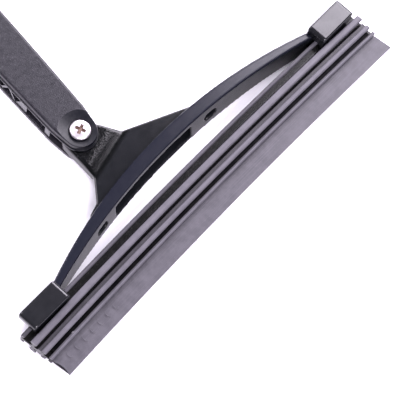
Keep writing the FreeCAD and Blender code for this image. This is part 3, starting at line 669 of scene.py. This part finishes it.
def bright_nickel():
    """Plated screw head: fine turned rings, tiny scratches and grime down in the recess."""
    finish = Finish("screw_nickel", 0.2, metallic=1.0)
    screw_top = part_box("pivot_screw")[1][2]
    deep = finish.ramp(finish.coordinate((0, 0, 1), (0, 0, screw_top)), -0.35, -0.75)
    centre = finish.ramp(finish.distance_from_axis(pivot), 3.2, 2.9)
    grime = finish.math("MULTIPLY", deep, centre)
    tarnish = finish.ramp(finish.noise(2.0, 4), 0.35, 0.75)
    plate = finish.mix(tarnish, rgb(0.56, 0.53, 0.55), rgb(0.44, 0.41, 0.43))
    finish.set("Base Color", finish.mix(grime, plate, rgb(0.16, 0.10, 0.08)))
    finish.set("Metallic", finish.math("SUBTRACT", 1.0, finish.math("MULTIPLY", grime, 0.6)))
    finish.set("Roughness", finish.ramp(finish.noise(0.5, 4), 0.3, 0.7, 0.38, 0.48))
    rings = finish.math("SINE", finish.math("MULTIPLY", finish.distance_from_axis(pivot), 14.0))
    finish.set("Normal", finish.bump(finish.math("ADD", rings, finish.noise(0.25, 3)), 0.0012))
    return finish


def metal(name, colour, stain, roughness, grain):
    """Plated or turned metal with cloudy staining and a fine tooth, grain millimetres across."""
    finish = Finish(name, roughness, metallic=1.0)
    clouds = finish.ramp(finish.noise(2.5, 5, 0.65), 0.35, 0.7)
    rounded = finish.rounded_normal(0.12)
    finish.set("Base Color", finish.mix(clouds, colour, stain))
    gloss = finish.ramp(finish.noise(0.9, 4), 0.3, 0.7, roughness - 0.06, roughness + 0.1)
    finish.set("Roughness", gloss)
    finish.set("Normal", finish.bump(finish.noise(grain, 4), 0.006, rounded))
    return finish


def nylon():
    finish = Finish("washer_nylon", 0.45)
    clouds = finish.ramp(finish.noise(3.0, 4), 0.3, 0.7)
    finish.set("Base Color", finish.mix(clouds, rgb(0.62, 0.60, 0.53), rgb(0.70, 0.68, 0.61)))
    finish.bsdf.inputs["Subsurface Weight"].default_value = 0.2
    finish.bsdf.inputs["Subsurface Radius"].default_value = (0.6 * MM, 0.5 * MM, 0.4 * MM)
    finish.set("Normal", finish.bump(finish.noise(0.3, 3), 0.008, finish.rounded_normal(0.1)))
    return finish


# --- camera, floor and light ----------------------------------------------------------------------
def add_object(name, data):
    thing = bpy.data.objects.new(name, data)
    bpy.context.scene.collection.objects.link(thing)
    return thing


def direction(heading, pitch):
    """Unit vector at a heading from +X and a pitch up from the floor, in degrees."""
    heading, pitch = math.radians(heading), math.radians(pitch)
    across = math.cos(pitch)
    return Vector((across * math.cos(heading), across * math.sin(heading), math.sin(pitch)))


def add_camera():
    data = bpy.data.cameras.new("camera")
    data.sensor_width, data.lens = SENSOR_WIDTH, LENS
    camera = add_object("camera", data)
    ahead = direction(CAMERA_HEADING, CAMERA_PITCH)
    camera.location = pivot + AIM_FROM_PIVOT - ahead * CAMERA_DISTANCE
    roll = Quaternion((0, 0, 1), math.radians(CAMERA_ROLL))
    camera.rotation_mode = "QUATERNION"
    camera.rotation_quaternion = ahead.to_track_quat("-Z", "Y") @ roll
    bpy.context.scene.camera = camera


def add_floor():
    """A plain pale floor just under the tool."""
    mesh = bpy.data.meshes.new("floor")
    corners = [(a * FLOOR_HALF, b * FLOOR_HALF, 0) for a, b in ((-1, -1), (1, -1), (1, 1), (-1, 1))]
    mesh.from_pydata(corners, [], [(0, 1, 2, 3)])
    floor = add_object("floor", mesh)
    floor.location.z = -FLOOR_GAP
    finish = Finish("floor", 0.9, specular=0.2)
    finish.set("Base Color", FLOOR_COLOUR)
    mesh.materials.append(finish.material)


def add_panel(name, place, size, radiance):
    """A soft light panel, aimed at the tool; its power follows from its radiance and area."""
    data = bpy.data.lights.new(name, "AREA")
    data.shape = "RECTANGLE"
    data.size, data.size_y = size
    data.energy = radiance * math.pi * size[0] * size[1]
    data.color = PANEL_TINT
    light = add_object(name, data)
    centre = pivot + AIM_FROM_PIVOT
    light.location = centre + place
    light.rotation_euler = (-place).to_track_quat("-Z", "Y").to_euler()


def add_light():
    """A key panel mirrored by the right half of the tool, and low panels that whiten the floor."""
    add_panel("right_panel", KEY_PLACE, KEY_SIZE, KEY_RADIANCE)
    for name, heading, pitch, radiance in FLOOR_PANELS:
        place = direction(heading, pitch) * FLOOR_PANEL_DISTANCE
        add_panel(name, place, FLOOR_PANEL_SIZE, radiance)
    world = bpy.data.worlds.new("world")
    bpy.context.scene.world = world
    world.use_nodes = True
    background = world.node_tree.nodes["Background"]
    background.inputs["Color"].default_value = WORLD_TINT
    background.inputs["Strength"].default_value = WORLD_LIGHT
    bpy.context.scene.view_settings.view_transform = "Standard"


# --- putting it together --------------------------------------------------------------------------
def paint(finish, *names):
    """Give a finish to carried-over CAD nodes or to pieces."""
    for name in names:
        target = nodes[name] if name in nodes else bpy.data.objects[name]
        target.data.materials.clear()
        target.data.materials.append(finish.material)


add_camera()
add_floor()
add_light()
make_blade()
make_bow_and_neck()
make_pivot_screw()

paint(blade_rubber(), "ribbed_rubber_blade")
paint(frame_plastic(), "bow_and_neck")
paint(bright_nickel(), "cross_recess_pivot_screw")
paint(dished_handle_plastic(), "handle_front_shell")
paint(handle_plastic(), "handle_rear_shell")
paint(core_plastic(), "handle_core")
paint(clamp_plastic(), "right_front_jaw", "right_rear_jaw", "left_front_jaw", "left_rear_jaw")
paint(metal("zinc_steel", rgb(0.60, 0.60, 0.62), rgb(0.50, 0.49, 0.46), roughness=0.32, grain=0.3),
      "clamp_screws", "shell_screws", "front_eyelet", "rear_eyelet", "pivot_nut", "spring_washer")
# the spline steel is coloured near black: a painted shade of the groove it lies in
paint(metal("spline_steel", rgb(0.003, 0.003, 0.0035), rgb(0.006, 0.006, 0.006),
            roughness=0.45, grain=0.25), "front_spline", "rear_spline")
paint(metal("bush_brass", rgb(0.72, 0.55, 0.28), rgb(0.58, 0.42, 0.22),
            roughness=0.28, grain=0.2), "pivot_bush")
paint(nylon(), "front_friction_washer", "rear_friction_washer")
